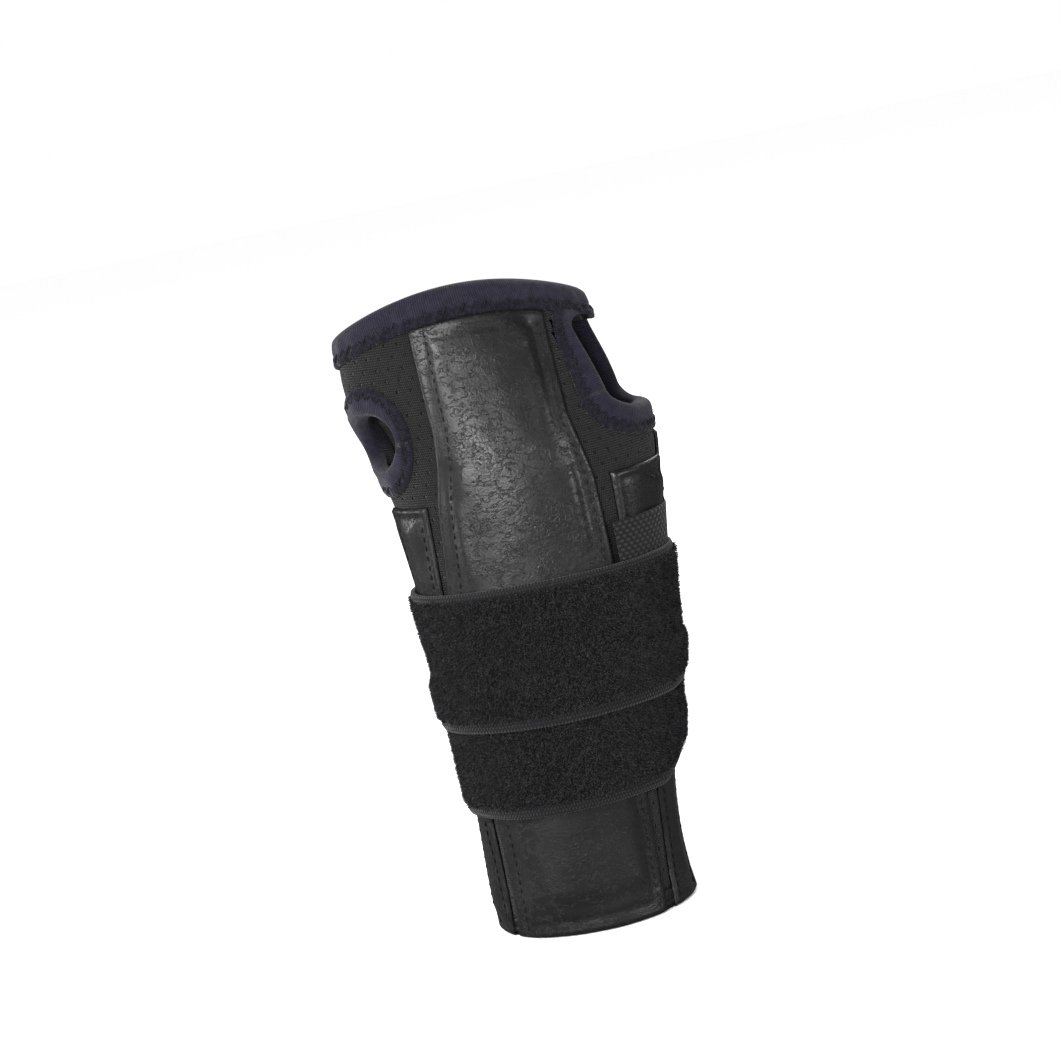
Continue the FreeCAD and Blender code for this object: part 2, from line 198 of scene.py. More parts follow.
def read_rim():
    """Height of the cuff's finger edge for a row of angles, read from the rim bindings."""
    tree = tree_of("palmar_rim_binding", "radial_flap_rim_binding", "ulnar_flap_rim_binding")
    angles, tops = np.linspace(-1.5 * math.pi, 0.5 * math.pi, 241), []
    for angle in angles:
        top = 195.0
        for _ in range(4):
            x, y, _ = wall(angle, top, MID_CLOTH)
            hit = tree.ray_cast(Vector((x, y, 240)), Vector((0, 0, -1)))[0]
            top = hit.z if hit else np.nan
            if not hit:
                break
        tops.append(top)
    tops = np.array(tops)
    known = ~np.isnan(tops)
    tops = np.interp(angles, angles[known], tops[known])
    return angles, np.convolve(np.pad(tops, 3, mode="edge"), np.ones(7) / 7, "valid")


RIM_ANGLES, RIM_TOPS = read_rim()


def rim(angle):
    """Height of the finger edge."""
    return np.interp(angle, RIM_ANGLES, RIM_TOPS)


# ---------------- meshes
def make_mesh(name, points, faces, uv, mats, face_mats=None):
    """An object from points in millimetres."""
    mesh = bpy.data.meshes.new(name)
    mesh.from_pydata((np.asarray(points) * MM).tolist(), [], [list(map(int, f)) for f in faces])
    if uv is not None:
        layer = mesh.uv_layers.new(name="cloth")
        corner = np.empty(len(mesh.loops), np.int32)
        mesh.loops.foreach_get("vertex_index", corner)
        layer.data.foreach_set("uv", np.asarray(uv, np.float32)[corner].ravel())
    for mat in mats:
        mesh.materials.append(mat)
    if face_mats is not None:
        mesh.polygons.foreach_set("material_index", np.asarray(face_mats, np.int32))
    mesh.polygons.foreach_set("use_smooth", [True] * len(mesh.polygons))
    mesh.update()
    made = bpy.data.objects.new(name, mesh)
    bpy.context.scene.collection.objects.link(made)
    return made


def arc_lengths(points, axis):
    """How far along an axis of the array each point lies."""
    gaps = np.linalg.norm(np.diff(points, axis=axis), axis=-1)
    lengths = np.cumsum(gaps, axis=axis)
    return np.concatenate([np.zeros_like(lengths.take([0], axis)), lengths], axis)


def as_curve(value):
    """A function as it is, or one that gives the same number everywhere."""
    return value if callable(value) else (lambda x: np.full_like(x, value, dtype=float))


class Cloth:
    """A closed piece of cloth on the cuff: its outer grid, its inner grid and the rim between them.

    left and right give angles for heights, low and high give heights for the share of the way across,
    outer and inner give depths for the cloth itself, and keep says which places stay.
    """

    def __init__(self, left, right, low, high, outer, inner, step, keep=None):
        left, right, low, high = map(as_curve, (left, right, low, high))
        half = np.array([0.5])
        middle = np.array([(low(half) + high(half))[0] / 2])
        width = abs((right(middle) - left(middle))[0]) * np.mean(oval(middle)[2:]) * 1.05
        tall = abs((high(half) - low(half))[0])
        across, along = max(4, int(width / step)), max(4, int(tall / step))
        shares = np.linspace(0, 1, across + 1), np.linspace(0, 1, along + 1)
        t, s = np.meshgrid(*shares, indexing="ij")
        self.z = low(t) + (high(t) - low(t)) * s
        self.angle = left(self.z) + (right(self.z) - left(self.z)) * t
        base = wall(self.angle, self.z, SEAT)
        self.u, self.v = arc_lengths(base, 0), self.z
        total = self.u[-1]
        self.u = self.u - self.u[across // 2]
        self.side = np.minimum(t, 1 - t) * total
        self.end = np.minimum(s, 1 - s) * tall
        self.edge = np.minimum(self.side, self.end)
        self.t = t
        self.outer = outer(self) if callable(outer) else np.full_like(t, outer)
        self.inner = inner(self) if callable(inner) else np.full_like(t, inner)
        self.stays = keep(self.angle, self.z) if keep else None

    def build(self, name, mats, zones=None):
        """The mesh. zones gives each place's material."""
        rows, columns = self.t.shape
        index = np.arange(rows * columns).reshape(rows, columns)
        corners = [index[:-1, :-1], index[1:, :-1], index[1:, 1:], index[:-1, 1:]]
        quads = np.stack(corners, -1).reshape(-1, 4)
        if self.stays is not None:
            quads = quads[self.stays.ravel()[quads].all(1)]
        count = rows * columns
        edges = np.concatenate([quads[:, [k, (k + 1) % 4]] for k in range(4)])
        keys = {(a, b) for a, b in edges.tolist()}
        open_edges = np.array([e for e in keys if (e[1], e[0]) not in keys])
        first, second = open_edges.T
        walls = np.stack([second, first, first + count, second + count], 1)
        faces = np.concatenate([quads, quads[:, ::-1] + count, walls])
        sides = [wall(self.angle, self.z, depth).reshape(-1, 3) for depth in (self.outer, self.inner)]
        points = np.concatenate(sides)
        uv = np.tile(np.stack([self.u, self.v], -1).reshape(-1, 2), (2, 1))
        face_mats = None
        if zones is not None:
            picked = zones(self).ravel()
            owners = quads[:, 0], quads[:, 0], walls[:, 0] % count
            face_mats = np.concatenate([picked[owner] for owner in owners])
        used = np.unique(faces)
        renumber = np.full(len(points), -1)
        renumber[used] = np.arange(len(used))
        return make_mesh(name, points[used], renumber[faces], uv[used], mats, face_mats)


def loft(name, rings, mats, closed):
    """A closed solid through a row of closed rings; closed joins the last ring to the first."""
    count, around = rings.shape[:2]
    index = np.arange(count * around).reshape(count, around)
    ahead = np.roll(index, -1, 0) if closed else index[1:]
    here = index if closed else index[:-1]
    corners = [here, ahead, np.roll(ahead, -1, 1), np.roll(here, -1, 1)]
    faces = np.stack(corners, -1).reshape(-1, 4).tolist()
    if not closed:
        faces += [index[0].tolist(), index[-1][::-1].tolist()]
    u = arc_lengths(rings, 0)
    v = arc_lengths(rings, 1)
    uv = np.stack([u.mean(1, keepdims=True) + 0 * v, v], -1).reshape(-1, 2)
    return make_mesh(name, rings.reshape(-1, 3), faces, uv, mats)


def threads(name, starts, ends, normals, mat, radius, sink):
    """Stitches: a short rounded thread from each start to each end, bowed off the cloth."""
    stations, sides = 5, 5
    s = np.linspace(0, 1, stations)
    across = np.cross(normals, unit(ends - starts))
    rise = np.sin(s * math.pi) ** 0.5 * radius * 1.2 - sink
    swell = np.array([0.35, 0.95, 1, 0.95, 0.35]) * radius
    turns = np.arange(sides) / sides * TURN
    centre = starts[:, None] + (ends - starts)[:, None] * s[None, :, None]
    centre = centre + normals[:, None] * rise[None, :, None]
    aside = np.cos(turns)[None, None, :, None] * swell[None, :, None, None]
    outward = np.sin(turns)[None, None, :, None] * swell[None, :, None, None]
    ring = centre[:, :, None] + across[:, None, None] * aside + normals[:, None, None] * outward
    index = np.arange(len(starts) * stations * sides).reshape(-1, stations, sides)
    turned = np.roll(index, -1, 2)
    side = np.stack([index[:, :-1], turned[:, :-1], turned[:, 1:], index[:, 1:]], -1)
    faces = side.reshape(-1, 4).tolist() + index[:, 0, ::-1].tolist() + index[:, -1].tolist()
    return make_mesh(name, ring.reshape(-1, 3), faces, None, [mat])


class Seam:
    """Collects stitch lines so that one piece holds all the thread of one body."""

    def __init__(self):
        self.starts, self.ends, self.normals = [], [], []

    def line(self, angle, height, depth):
        """Straight lockstitches along a path given as arrays."""
        pitch, share, wobble = 3.0, 0.66, 0.12
        far = arc_lengths(wall(angle, height, depth), 0)
        places = np.arange(0.4, far[-1] - pitch, pitch)
        jitter = rng.normal(0, wobble, len(places))
        for offset, store in ((0, self.starts), (pitch * share, self.ends)):
            a, z, d = (np.interp(places + offset + jitter, far, values) for values in (angle, height, depth))
            store.append(wall(a, z, d))
            if store is self.starts:
                self.normals.append(normal_at(a, z))

    def zigzag(self, points, normals, inward):
        """Zigzag stitches along a row of points."""
        wide, pitch = 2.4, 1.7
        far = arc_lengths(points, 0)
        places = np.arange(0, far[-1], pitch)
        line, out, side = (
            np.stack([np.interp(places, far, values[:, k]) for k in range(3)], -1)
            for values in (points, normals, inward)
        )
        line = line + side * (np.where(np.arange(len(places)) % 2, 0.5, -0.5) * wide)[:, None]
        self.starts.append(line[:-1])
        self.ends.append(line[1:])
        self.normals.append(out[:-1])

    def build(self, name, mat, radius=0.28, sink=0.12):
        """The thread as one mesh."""
        return threads(name, *map(np.concatenate, (self.starts, self.ends, self.normals)), mat, radius, sink)


def pile(name, cloth, density, tall, clear):
    """Plush loops standing on a piece of cloth, each one a bent blade of its own."""
    area = np.ptp(cloth.u[:, 0]) * np.ptp(cloth.v[0])
    count = int(area * density)
    t, s = rng.random(count), rng.random(count)
    rows, columns = cloth.t.shape
    i, j = (t * (rows - 1)).astype(int), (s * (columns - 1)).astype(int)
    inside = (cloth.end[i, j] > clear + 0.5 * rng.normal(size=count)) & (cloth.side[i, j] > 0.6)
    if cloth.stays is not None:
        inside &= cloth.stays[i, j] & cloth.stays[i + 1, j]
    i, j = i[inside], j[inside]
    ft, fs = rng.random(len(i)), rng.random(len(i))

    def pick(grid):
        near = grid[i, j] * (1 - ft) + grid[i + 1, j] * ft
        far = grid[i, j + 1] * (1 - ft) + grid[i + 1, j + 1] * ft
        return near * (1 - fs) + far * fs

    angle, height, depth = pick(cloth.angle), pick(cloth.z), pick(cloth.outer)
    root = wall(angle, height, depth - 0.15)
    out = normal_at(angle, height)
    lean = rng.normal(0, 0.8, (len(i), 3)) + np.array([0.1, 0, -0.3])
    tip_way = unit(out + lean)
    size = tall * (0.7 + 0.2 * waves(angle * 30, height, 2.0) + 0.5 * rng.random(len(i)) ** 2)
    across = unit(np.cross(out, rng.normal(size=(len(i), 3))))
    wide = 0.10 + 0.07 * rng.random((len(i), 1))
    knee = root + out * size[:, None] * 0.6 + tip_way * size[:, None] * 0.25
    tip = root + out * size[:, None] * 0.55 + tip_way * size[:, None] * 0.75
    half = across * wide
    points = np.stack([root - half, root + half, knee + half, knee - half, tip], 1)
    index = np.arange(len(i) * 5).reshape(-1, 5)
    faces = index[:, :4].tolist() + index[:, [3, 2, 4]].tolist()
    # The rise, 0 at the root and 1 at the tip, goes into the uv, where the loops' material paints shade at
    # the roots and light at the tips.
    rise = np.tile([0.0, 0.0, 0.6, 0.6, 1.0], len(i))
    uv = np.stack([np.repeat(angle * 30, 5), rise], -1)
    return make_mesh(name, points.reshape(-1, 3), faces, uv, [PILE_LOOPS])


# ---------------- materials
class Surface:
    """A node material built step by step."""

    def __init__(self, name, colour, rough, sheen=0.0, specular=0.5, metal=0.0):
        self.material = bpy.data.materials.new(name)
        self.material.use_nodes = True
        self.tree = self.material.node_tree
        self.shader = self.tree.nodes["Principled BSDF"]
        self.fill(self.shader, {
            "Base Color": (*colour, 1), "Roughness": rough, "Specular IOR Level": specular,
            "Metallic": metal, "Sheen Weight": sheen, "Sheen Roughness": 0.45,
        })
        self.uv = self.node("UVMap").outputs[0]
        self.space = self.node("TexCoord").outputs["Object"]
        self.height = None

    def fill(self, node, inputs):
        """Sets a node's inputs to values, or links them where a value is another node's output."""
        for key, value in inputs.items():
            if isinstance(value, bpy.types.NodeSocket):
                self.tree.links.new(value, node.inputs[key])
            else:
                node.inputs[key].default_value = value
        return node

    def put(self, socket, value):
        """Sets one input of the shader."""
        self.fill(self.shader, {socket: value})

    def node(self, kind, inputs=(), **settings):
        """Adds a node with its settings and inputs."""
        made = self.tree.nodes.new("ShaderNode" + kind)
        for key, value in settings.items():
            setattr(made, key, value)
        return self.fill(made, dict(inputs))

    def math(self, operation, *values):
        return self.node("Math", enumerate(values), operation=operation).outputs[0]

    def plus(self, a, b):
        return self.math("ADD", a, b)

    def times(self, a, b):
        return self.math("MULTIPLY", a, b)

    def wave(self, value, period, offset=0.0):
        """A sine between 0 and 1 that repeats every period."""
        turn = self.math("MULTIPLY_ADD", value, TURN / period, offset)
        return self.math("MULTIPLY_ADD", self.math("SINE", turn), 0.5, 0.5)

    def staggered(self, u, v, period, row):
        """The same wave along u, in rows that are each half a period away from the last."""
        return self.wave(u, period, self.times(self.math("FLOOR", self.math("DIVIDE", v, row)), math.pi))

    def noise(self, scale, detail, rough=0.55, stretch=None):
        """Uneven values round 0.5."""
        vector = self.space
        if stretch:
            vector = self.node("Mapping", {"Vector": vector, "Scale": stretch}).outputs[0]
        inputs = {"Vector": vector, "Scale": scale, "Detail": detail, "Roughness": rough}
        return self.node("TexNoise", inputs).outputs[0]

    def cells(self, scale, feature, vector=None, random=1.0):
        inputs = {"Vector": vector or self.space, "Scale": scale, "Randomness": random}
        return self.node("TexVoronoi", inputs, feature=feature).outputs[0]

    def across(self):
        """The two directions of the cloth, in millimetres."""
        parts = self.node("SeparateXYZ", {0: self.uv})
        return parts.outputs[0], parts.outputs[1]

    def ramp(self, value, low, high, out_low=0.0, out_high=1.0):
        """A soft step from one output to the other as the value goes from low to high."""
        inputs = {"Value": value, "From Min": low, "From Max": high, "To Min": out_low, "To Max": out_high}
        return self.node("MapRange", inputs, interpolation_type="SMOOTHSTEP").outputs[0]

    def add(self, value, amount):
        """Adds relief, in millimetres."""
        part = self.times(value, amount)
        self.height = part if self.height is None else self.plus(self.height, part)

    def tint(self, value, dark, light):
        """Colours from dark to light by a value between 0 and 1."""
        mix = self.node("Mix", {0: value, 6: (*dark, 1), 7: (*light, 1)}, data_type="RGBA")
        self.put("Base Color", mix.outputs[2])

    def mottle(self, scale, detail, dark, light):
        """Colours in uneven patches."""
        self.tint(self.ramp(self.noise(scale, detail), 0.3, 0.7), dark, light)

    def done(self, strength=1.0):
        """The material, with its relief."""
        if self.height is not None:
            bump = self.node("Bump", {"Height": self.height, "Strength": strength, "Distance": MM})
            self.put("Normal", bump.outputs[0])
        return self.material


def vinyl():
    """Synthetic leather: a fine pebble, worm-like creases, crackled folds and patches of shine."""
    skin = Surface("creased_vinyl", (0.004, 0.004, 0.0045), 0.36, specular=0.42)
    pebbles = skin.cells(1600, "SMOOTH_F1")
    push = skin.node("TexNoise", {"Vector": skin.space, "Scale": 420, "Detail": 2}).outputs[1]
    shift = skin.node("VectorMath", {0: push, 3: 0.0035}, operation="SCALE").outputs[0]
    warped = skin.node("VectorMath", {0: skin.space, 1: shift}, operation="ADD").outputs[0]
    cracks = skin.ramp(skin.cells(700, "DISTANCE_TO_EDGE", warped), 0.0, 0.14)
    creases = skin.noise(210, 5, 0.68, stretch=(0.8, 1.0, 1.3))
    grooves = skin.ramp(skin.math("ABSOLUTE", skin.math("SUBTRACT", creases, 0.5)), 0.0, 0.022)
    folds = skin.noise(60, 2, 0.4, stretch=(0.7, 1.0, 1.0))
    worn = skin.ramp(skin.noise(60, 3, 0.6), 0.42, 0.62)
    skin.add(pebbles, -0.05)
    skin.add(skin.noise(1500, 3), 0.05)
    skin.add(skin.times(cracks, worn), 0.04)
    skin.add(grooves, 0.08)
    skin.add(folds, 0.42)
    # The colour is a random tone with painted shade along the creases: the grooves, which the relief sinks,
    # are painted darker.
    tone_and_painted_light = skin.plus(skin.times(skin.noise(48, 3), 0.7), skin.times(grooves, 0.3))
    skin.tint(skin.ramp(tone_and_painted_light, 0.2, 0.85), (0.0012, 0.0012, 0.0014), (0.005, 0.005, 0.0055))
    skin.put("Roughness", skin.ramp(skin.plus(pebbles, skin.noise(70, 3)), 0.4, 1.3, 0.33, 0.44))
    return skin.done(0.9)


def knit():
    """Warp knit: fine loops, and small holes in staggered rows."""
    cloth = Surface("spacer_knit", (0.012, 0.014, 0.012), 0.9, sheen=0.06, specular=0.12)
    u, v = cloth.across()
    hole_row = 3.6
    loops = cloth.times(cloth.wave(u, 0.62), cloth.wave(v, 0.74))
    columns = cloth.math("POWER", cloth.staggered(u, v, 4.4, hole_row), 16.0)
    spots = cloth.times(columns, cloth.math("POWER", cloth.wave(v, hole_row, -math.pi / 2), 10.0))
    cloth.add(loops, 0.28)
    cloth.add(spots, -0.8)
    cloth.add(cloth.noise(1300, 3, 0.7), 0.3)
    # Painted light and shade on a random tone: the loops, which the relief raises, are painted lighter and
    # the holes, which it sinks, darker.
    light = cloth.math("SUBTRACT", cloth.times(loops, 0.7), cloth.times(spots, 1.3))
    mixed = cloth.plus(light, cloth.times(cloth.noise(800, 3, 0.7), 0.5))
    cloth.tint(cloth.ramp(mixed, 0.0, 1.0), (0.0012, 0.0013, 0.0012), (0.0155, 0.0172, 0.0155))
    return cloth.done(0.9)


def binding_cloth():
    """Navy elastic binding: fine ribs across the band near the fold, rougher loops by its sewn edge."""
    cloth = Surface("navy_binding", (0.02, 0.018, 0.034), 0.75, sheen=0.08, specular=0.1)
    u, v = cloth.across()
    ribs = cloth.wave(u, 0.68)
    sewn = cloth.ramp(v, 3.2, 4.6, 1.0, 0.0)
    crochet = cloth.times(cloth.cells(1100, "SMOOTH_F1"), sewn)
    ribbed_part = cloth.times(ribs, cloth.ramp(v, 3.0, 5.0, 0.35, 1.0))
    cloth.add(ribbed_part, 0.16)
    cloth.add(crochet, -0.55)
    cloth.add(cloth.noise(700, 4, 0.65), 0.28)
    # A random tone, with a painted highlight on the raised ribs and painted shade in the crochet's dips.
    fade = cloth.noise(520, 4, 0.7)
    tone_and_painted_light = cloth.plus(cloth.times(fade, 0.8), cloth.times(ribbed_part, 0.3))
    tone_and_painted_light = cloth.math("SUBTRACT", tone_and_painted_light, cloth.times(crochet, 0.25))
    cloth.tint(cloth.ramp(tone_and_painted_light, 0.15, 0.8), (0.0018, 0.0016, 0.0034), (0.0122, 0.0104, 0.0205))
    return cloth.done(0.9)


def plush(name, dark, light, painted_light_by_rise=False):
    """The ground or the loops of the plush strap; the loops are painted lighter with their rise, painted
    shade at their roots and painted light at their tips.
    """
    cloth = Surface(name, dark, 0.85, sheen=0.08, specular=0.12)
    cloth.add(cloth.noise(1500, 4, 0.7), 0.5)
    tone_and_painted_light = cloth.noise(420, 4, 0.65)
    # Painted shade at the loops' roots and painted light at their tips.
    if painted_light_by_rise:
        tone_and_painted_light = cloth.plus(cloth.times(cloth.across()[1], 0.35), cloth.times(tone_and_painted_light, 0.65))
    cloth.tint(cloth.ramp(tone_and_painted_light, 0.38, 0.85), dark, light)
    return cloth.done(0.9)


def times_all(colour, share):
    return tuple(part * share for part in colour)


def ribbed(name, colour, across_period, along_period, depth):
    """Woven tape: ribs one way, crossed by finer yarns."""
    cloth = Surface(name, colour, 0.7, sheen=0.08, specular=0.2)
    u, v = cloth.across()
    yarn = cloth.staggered(u, v, across_period, along_period)
    rows = cloth.wave(v, along_period, -math.pi / 2)
    weave_and_painted_light = cloth.times(cloth.math("POWER", rows, 0.5), yarn)
    cloth.add(weave_and_painted_light, depth)
    cloth.add(cloth.noise(1600, 3), 0.08)
    # Painted light and shade over the weave: the raised yarns are painted lighter and the gaps between them
    # darker.
    cloth.tint(cloth.ramp(weave_and_painted_light, 0.05, 0.9), times_all(colour, 0.25), times_all(colour, 1.5))
    return cloth.done(0.9)


def terry():
    """Brushed lining."""
    cloth = Surface("brushed_lining", (0.02, 0.02, 0.022), 0.9, sheen=0.2, specular=0.1)
    cloth.add(cloth.cells(950, "SMOOTH_F1"), -0.4)
    cloth.add(cloth.noise(2200, 4, 0.7), 0.35)
    cloth.mottle(300, 4, (0.012, 0.012, 0.013), (0.03, 0.03, 0.032))
    return cloth.done(0.9)


def hook_tape():
    """Moulded hook tape."""
    tape = Surface("hook_tape", (0.010, 0.010, 0.011), 0.45, specular=0.4)
    tape.add(tape.cells(820, "F1", random=0.25), -0.6)
    tape.mottle(500, 3, (0.005, 0.005, 0.006), (0.018, 0.018, 0.02))
    return tape.done(1.0)


def thread_of(name, dark, light):
    """Twisted sewing thread."""
    yarn = Surface(name, dark, 0.65, sheen=0.04, specular=0.15)
    yarn.add(yarn.noise(5200, 3, stretch=(1, 1, 3)), 0.08)
    yarn.mottle(2600, 2, dark, light)
    return yarn.done(0.8)


def metal(name, colour, rough):
    """Drawn metal strip with its grain along the strip."""
    strip = Surface(name, colour, rough, metal=1.0)
    grain = strip.noise(900, 4, stretch=(12, 12, 0.3))
    strip.add(grain, 0.02)
    strip.put("Roughness", strip.ramp(grain, 0.3, 0.7, rough * 0.8, rough * 1.3))
    strip.mottle(120, 4, times_all(colour, 0.85), colour)
    return strip.done(0.5)


VINYL, KNITTED, NAVY, TERRY, HOOKS = vinyl(), knit(), binding_cloth(), terry(), hook_tape()
PILE_GROUND = plush("plush_ground", (0.002, 0.002, 0.0024), (0.006, 0.006, 0.0068))
PILE_LOOPS = plush("plush_loops", (0.0010, 0.0010, 0.0012), (0.028, 0.0262, 0.030), painted_light_by_rise=True)
SELVEDGE = ribbed("strap_selvedge", (0.0062, 0.006, 0.0075), 0.9, 1.1, 0.3)
WEBBING = ribbed("woven_webbing", (0.009, 0.009, 0.0095), 2.0, 1.35, 0.45)
TAPE = ribbed("channel_tape", (0.009, 0.009, 0.010), 1.2, 1.0, 0.3)
GREY_THREAD = thread_of("grey_thread", (0.002, 0.002, 0.0022), (0.010, 0.010, 0.011))
NAVY_THREAD = thread_of("navy_thread", (0.0012, 0.001, 0.0024), (0.006, 0.0052, 0.011))
STAY_METAL = metal("stay_aluminium", (0.75, 0.76, 0.78), 0.35)
SPRING_METAL = metal("spring_steel", (0.6, 0.6, 0.62), 0.3)


def dress(piece, slot, *nodes):
    """Hides the CAD nodes that a piece stands for; slot is not used."""
    if nodes:
        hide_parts(*nodes)
    return piece


# ---------------- edges shared by the pieces
HOME_X, HOME_Y = 1.93, 2.14  # the frame's origin, in the coordinates that the holes were laid out in
# for each half: the way across its hinge (x, y), the hinge line's lean, and where the bend starts and ends
BLENDS = {
    "radial": (-0.5, 0.85, 0.068, -9.0, 0.0),
    "ulnar": (0.5, 0.85, 0.085, -11.0, -2.5),
}


def bend(piece, side, slot, *nodes):
    """A piece of one half of the cuff: its transform is baked into its mesh and its CAD nodes are hidden."""
    x_share, y_share, lean, first, last = BLENDS[side]
    way = np.array([x_share, y_share, -y_share * lean])
    way /= np.linalg.norm(way)
    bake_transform(piece)
    return dress(piece, slot, *nodes)


def still(piece, body, slot, *nodes):
    """A piece that moves with one body."""
    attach(piece, body)
    return dress(piece, slot, *nodes)


def path_x(*pairs):
    """A line down the palm: the distance from the middle at each height, as an angle round the cuff."""
    z, x = np.array(pairs, float).T
    return lambda height: palm_angle(np.interp(height, z, x), height)


def palm_x(x):
    """A line at one distance from the middle plane, on the palm."""
    return lambda height: palm_angle(x, height)


def back_x(x):
    """The same on the back."""
    return lambda height: back_angle(x, height)


def ulnar_back_x(x):
    """The same place on the back, as an angle that runs on from the little-finger side."""
    return lambda height: back_angle(x, height) - TURN


def radial_y(y):
    """A line at one distance towards the back, on the thumb side."""
    return lambda height: side_angle(y, height)


def ulnar_y(y):
    """The same on the little-finger side."""
    return lambda height: -math.pi - side_angle(y, height)


# the two edges of the back's slit, and which way the cloth lies from each
SLIT = {"radial": (limits("radial_slit_binding")[0][0], 1), "ulnar": (limits("ulnar_slit_binding")[1][0], -1)}
HALF_EDGES = {
    "radial": (as_curve(PALM), back_x(SLIT["radial"][0] + 1.4)),
    "ulnar": (ulnar_back_x(SLIT["ulnar"][0] - 1.4), as_curve(PALM)),
}
PALM_END = {"radial": 0, "ulnar": -1}  # which end of each half's edges is on the palm


def ends_at(edges, height):
    """The angles of a left and a right edge at one height."""
    return [edge(np.array([height]))[0] for edge in edges]


def below_rim(edges, height, drop):
    """A top that follows the finger edge between two edges, a drop below it."""
    low, high = ends_at(edges, height)
    return lambda t: rim(low + (high - low) * t) - drop


# ---------------- the two holes
class Hole:
    """A hole through one side: a core line grown by a radius, seen square to its axis."""

    def __init__(self, centre, axis, core, radius):
        self.centre, self.axis = np.array(centre, float), np.array(axis, float)
        self.up = np.array([0, 0, 1.0])
        self.level = np.cross(self.up, self.axis)
        self.core, self.radius = np.array(core, float), radius

    def offset(self, angle, height):
        """How far a place on the wall is from the hole's edge, negative inside the hole."""
        point = wall(angle, height, MID_CLOTH) - self.centre
        flat = np.stack([point @ self.level, point @ self.up], -1)
        best = np.full(flat.shape[:-1], 1e9)
        inside = np.ones(flat.shape[:-1], bool)
        count = len(self.core)
        for k in range(count):
            a, b = self.core[k], self.core[(k + 1) % count]
            run = b - a
            if count == 1:
                near = a + 0 * flat
                inside &= False
            else:
                share = np.clip(((flat - a) @ run) / (run @ run), 0, 1)
                near = a + share[..., None] * run
                inside &= (run[0] * (flat[..., 1] - a[1]) - run[1] * (flat[..., 0] - a[0])) >= 0
            best = np.minimum(best, np.linalg.norm(flat - near, axis=-1))
        best = np.where(inside, -best, best)
        facing = point @ self.axis > 0
        return np.where(facing, best - self.radius, 1e3)

    def edge(self):
        """Points of the edge on the wall, and the way outward from the hole along the wall."""
        pitch = 1.1
        flat, outs = [], []
        count = len(self.core)
        for k in range(count):
            a, b, c = self.core[k - 1], self.core[k], self.core[(k + 1) % count]
            if count == 1:
                turns = np.linspace(0, TURN, int(TURN * self.radius / pitch), endpoint=False)
            else:
                before = math.atan2(-(b - a)[0], (b - a)[1])
                after = math.atan2(-(c - b)[0], (c - b)[1])
                sweep = (after - before) % TURN
                after = before + sweep
                turns = np.linspace(before, after, max(3, int(sweep * self.radius / pitch) + 1))
            normal = np.stack([np.cos(turns), np.sin(turns)], -1)
            flat.append(b + normal * self.radius)
            outs.append(normal)
            if count > 1:
                last = np.array([math.cos(turns[-1]), math.sin(turns[-1])])
                steps = int(np.linalg.norm(c - b) / pitch)
                for share in np.arange(1, steps) / steps:
                    flat.append((b + (c - b) * share + last * self.radius)[None])
                    outs.append(last[None])
        flat, outs = np.concatenate(flat), np.concatenate(outs)
        place = self.centre + flat[:, :1] * self.level + flat[:, 1:] * self.up
        out = outs[:, :1] * self.level + outs[:, 1:] * self.up
        low, high = np.zeros(len(place)), np.full(len(place), 90.0)
        for _ in range(40):
            middle = (low + high) / 2
            point = place + middle[:, None] * self.axis
            cx, cy, a, b = oval(point[:, 2])
            outside = ((point[:, 0] - cx) / (a + SEAT)) ** 2 + ((point[:, 1] - cy) / (b + SEAT)) ** 2 > 1
            low, high = np.where(outside, low, middle), np.where(outside, middle, high)
        return place + low[:, None] * self.axis, out

    def walk(self):
        """Angle and height of lines round the hole, a step apart, from just inside its edge."""
        furthest, step = 11.0, 0.5
        point, way = self.edge()
        point = point - way * step
        angles, heights = [], []
        for _ in range(int(furthest / step) + 2):
            angle, height = angle_of(point), point[:, 2].copy()
            angles.append(angle)
            heights.append(height)
            normal = normal_at(angle, height)
            way = unit(way - (way * normal).sum(-1, keepdims=True) * normal)
            point = wall(angle, height, SEAT) + way * step
        angles = np.unwrap(np.array(angles), axis=0)
        return angles, np.array(heights), -step, step


THUMB_CORNERS = np.array([(-2.4, 161), (13.5, 161), (13.5, 181), (4.6, 181)]) - (HOME_Y, 0)
THUMB = Hole((0, 0, 0), (1, 0, 0), THUMB_CORNERS, 5.0)
SPARE_TURN = math.radians(35)
SPARE_AXIS = np.array([-math.cos(SPARE_TURN), -math.sin(SPARE_TURN), 0])
SPARE = Hole((-35.5 - HOME_X, 0.6 - HOME_Y, 160) - 12 * SPARE_AXIS, SPARE_AXIS, [(0, 0)], 8.8)


def off_holes(angle, height):
    """Whether places are clear of both holes."""
    clear = 1.5
    return (THUMB.offset(angle, height) > clear) & (SPARE.offset(angle, height) > clear)


# ---------------- bindings
def fold_profile(wide, outer=4.25, seat=3.02, inner=-0.95, back=None):
    """The cut through a folded binding: offset from the fold and depth, round a U."""
    back = back or wide
    lining = -0.05
    outside = [
        (wide, seat), (wide + 0.25, seat + 0.55), (wide - 0.3, outer - 0.3), (wide - 1.2, outer),
        (wide - 2.6, outer - 0.12), (wide - 3.6, outer - 0.15), (wide * 0.45, outer + 0.12),
        (1.6, outer + 0.15), (0.35, outer - 0.55), (-0.25, 2.6), (-0.25, 0.8),
    ]
    inside = [
        (0.3, inner + 0.55), (1.6, inner), (back * 0.5, inner - 0.05), (back - 1.0, inner),
        (back, inner + 0.4), (back - 0.3, lining), (back * 0.5, lining), (1.8, lining),
    ]
    return np.array(outside + inside + [(1.35, 0.5), (1.35, 2.4), (1.9, seat), (wide * 0.5, seat)])


